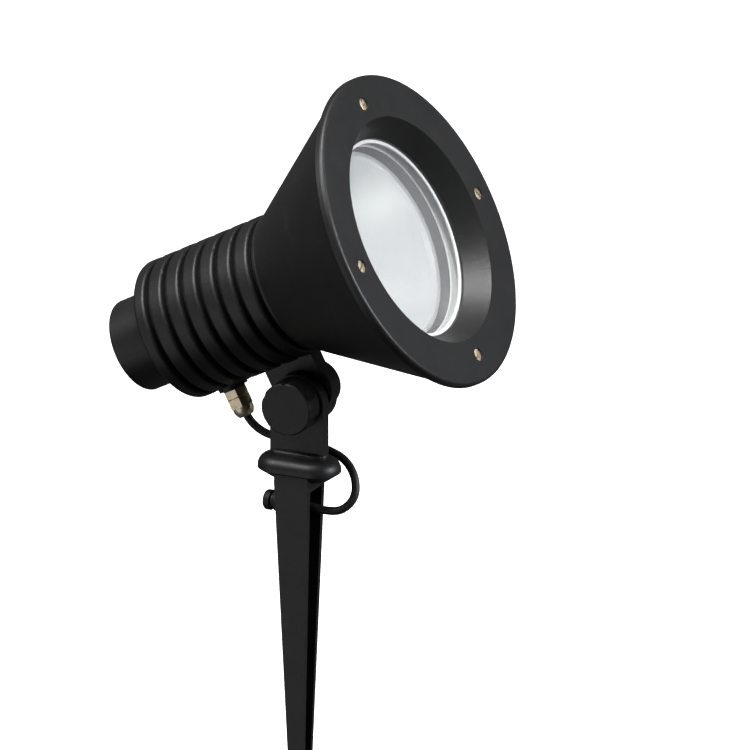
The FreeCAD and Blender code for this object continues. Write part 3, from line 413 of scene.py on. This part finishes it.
def make_ring_screws():
    """Repeats the screw round its circle, each slot turned another way, and bakes it to a mesh."""
    pattern = screw_pattern()
    group = bpy.data.node_groups.new("screws_round_ring", "GeometryNodeTree")
    sockets = {
        "Screw": "NodeSocketObject",
        "Count": "NodeSocketInt",
        "Circle": "NodeSocketFloat",
        "Finish": "NodeSocketMaterial",
    }
    for name, kind in sockets.items():
        group.interface.new_socket(name, in_out="INPUT", socket_type=kind)
    group.interface.new_socket("Geometry", in_out="OUTPUT", socket_type="NodeSocketGeometry")
    link, new = group.links.new, group.nodes.new
    given, result = new("NodeGroupInput"), new("NodeGroupOutput")
    circle, place = new("GeometryNodeMeshCircle"), new("GeometryNodeInstanceOnPoints")
    info, spin = new("GeometryNodeObjectInfo"), new("FunctionNodeRandomValue")
    join = new("ShaderNodeCombineXYZ")
    real, paint = new("GeometryNodeRealizeInstances"), new("GeometryNodeSetMaterial")
    spin.data_type = "FLOAT"
    spin.inputs["Seed"].default_value = 7
    number = {s.name: s for s in spin.inputs if s.enabled}
    number["Min"].default_value, number["Max"].default_value = 0.3, 2.8
    link(given.outputs["Count"], circle.inputs["Vertices"])
    link(given.outputs["Circle"], circle.inputs["Radius"])
    link(given.outputs["Screw"], info.inputs["Object"])
    link(circle.outputs["Mesh"], place.inputs["Points"])
    link(info.outputs["Geometry"], place.inputs["Instance"])
    link(next(o for o in spin.outputs if o.enabled), join.inputs["Z"])
    link(join.outputs["Vector"], place.inputs["Rotation"])
    link(place.outputs["Instances"], real.inputs["Geometry"])
    link(real.outputs["Geometry"], paint.inputs["Geometry"])
    link(given.outputs["Finish"], paint.inputs["Material"])
    link(paint.outputs["Geometry"], result.inputs["Geometry"])
    holder = bpy.data.objects.new("ring_screw_set", bpy.data.meshes.new("ring_screw_set"))
    bpy.context.scene.collection.objects.link(holder)
    modifier = holder.modifiers.new("repeat", "NODES")
    modifier.node_group = group
    values = {"Screw": pattern, "Count": 4, "Circle": SCREW_CIRCLE * MM, "Finish": FINISHES["screw_brass"]}
    for item in group.interface.items_tree:
        if item.in_out == "INPUT":
            modifier[item.identifier] = values[item.name]
    bpy.context.view_layer.update()
    data = bpy.data.meshes.new_from_object(holder.evaluated_get(bpy.context.evaluated_depsgraph_get()))
    holder.modifiers.remove(modifier)
    bpy.data.objects.remove(pattern)
    # the pattern's Z points out of the face, which is the head frame's -Z
    data.transform(HEAD @ Matrix.Rotation(math.pi, 4, "Y"))
    holder.data = data
    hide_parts("ring_screws")
    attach(holder, "head")


def make_cord():
    path = spline_points(route())
    cord = tube_along("supply_cord_sheath", path, CORD_RADIUS * MM)
    cord.data.materials.append(FINISHES["cord_rubber"])
    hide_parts("supply_cord")
    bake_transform(cord)
    length = sum((b - a).length for a, b in zip(path, path[1:]))
    print("cord length", round(length, 4))


# ---------------------------------------------------------------- studio
def make_floor():
    """A pale floor under the spike's point."""
    bpy.ops.mesh.primitive_plane_add(size=60, location=(0, 0, cad_box[0][2] - 0.004))
    floor = bpy.context.object
    floor.name = "studio_floor"
    material, tree, shader = new_material("pale_floor")
    tint = ramp(tree, noise(tree, 0.6, 2), [(0.3, grey(0.88)), (0.7, grey(0.92))])
    tree.links.new(tint, shader.inputs["Base Color"])
    shader.inputs["Roughness"].default_value = 0.9
    shader.inputs["Emission Color"].default_value = (1, 1, 1, 1)
    shader.inputs["Emission Strength"].default_value = 1.0
    floor.data.materials.append(material)
    floor.visible_glossy = False
    floor.visible_diffuse = False
    floor.visible_shadow = False


def area_light(name, place, target, size, power, colour=(1, 1, 1)):
    data = bpy.data.lights.new(name, "AREA")
    data.shape = "RECTANGLE"
    data.size, data.size_y = size
    data.energy = power
    data.color = colour
    light = bpy.data.objects.new(name, data)
    bpy.context.scene.collection.objects.link(light)
    light.location = place
    light.rotation_euler = (Vector(target) - Vector(place)).to_track_quat("-Z", "Y").to_euler()
    return light


def make_lights():
    world = bpy.data.worlds.new("studio_world")
    world.use_nodes = True
    tree = world.node_tree
    background = tree.nodes["Background"]
    coordinates = add(tree, "ShaderNodeTexCoord")
    split = add(tree, "ShaderNodeSeparateXYZ")
    tree.links.new(coordinates.outputs["Generated"], split.inputs["Vector"])

    def fade(axis, low, high, dark, bright):
        """Brightness that rises from dark to bright along a world axis."""
        node = add(tree, "ShaderNodeMapRange", interpolation_type="SMOOTHSTEP")
        for key, value in (("From Min", low), ("From Max", high), ("To Min", dark), ("To Max", bright)):
            node.inputs[key].default_value = value
        tree.links.new(split.outputs[axis], node.inputs["Value"])
        return node.outputs["Result"]

    def combine(operation, first, second):
        node = add(tree, "ShaderNodeMath", operation=operation)
        tree.links.new(first, node.inputs[0])
        tree.links.new(second, node.inputs[1])
        return node.outputs[0]

    walls = combine("MULTIPLY", fade("Y", -0.75, 0.25, 0.5, 1.45), fade("Z", -0.4, 0.0, 0.8, 1.0))
    ceiling = fade("Z", 0.45, 0.95, 0.0, 1.3)
    tree.links.new(combine("MAXIMUM", walls, ceiling), background.inputs["Strength"])
    bpy.context.scene.world = world
    area_light("key_softbox", (-1.3, -1.2, 2.2), (0, 0, 0.1), (1.2, 1.2), 42)
    area_light("top_softbox", (0.1, -0.2, 2.4), (0, 0, 0.1), (1.2, 1.2), 62)
    area_light("side_softbox", (2.4, 0.4, 1.1), (0, 0, 0.15), (1.2, 1.6), 70, (0.93, 0.95, 1.0))
    area_light("low_softbox", (-1.0, -2.1, -0.75), (0, 0, 0.05), (2.4, 1.8), 8)
    bpy.context.scene.view_settings.view_transform = "Standard"


make_camera()
finish_cad_nodes()
make_ring_screws()
make_cord()
make_floor()
make_lights()
bpy.context.view_layer.update()
